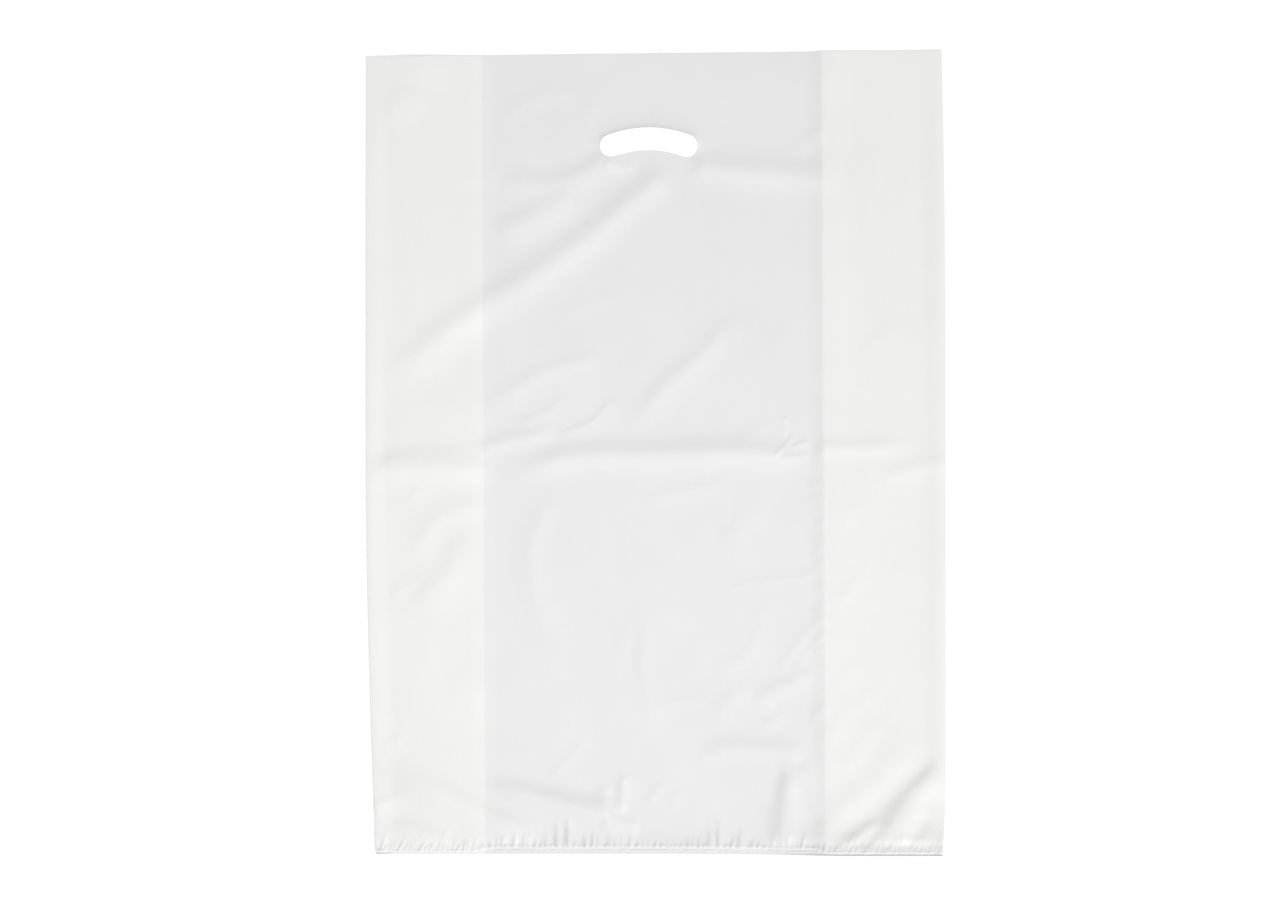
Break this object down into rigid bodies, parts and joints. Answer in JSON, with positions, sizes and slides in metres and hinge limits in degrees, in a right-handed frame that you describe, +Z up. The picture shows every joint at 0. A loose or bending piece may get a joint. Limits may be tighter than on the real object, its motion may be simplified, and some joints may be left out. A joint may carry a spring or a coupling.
{
  "type": "plastic carrier bag",
  "caption": "White polythene carrier bag laid flat: tucked side gussets, open mouth, gathered bottom weld and a bowed grip slot punched through both faces.",
  "frame": {"origin": "on the surface that the bag lies on, under the middle of its box", "axes": "+X across the bag to the right of its front face, +Y from the weld towards the mouth, +Z up out of the front face"},
  "size_m": [0.43, 0.6, 0.0036],
  "materials": {
    "white_film": "white blown polythene film, satin, slightly translucent, softly folded"
  },
  "bodies": {
    "root": {"carrier_bag": "white_film"}
  },
  "joints": []
}
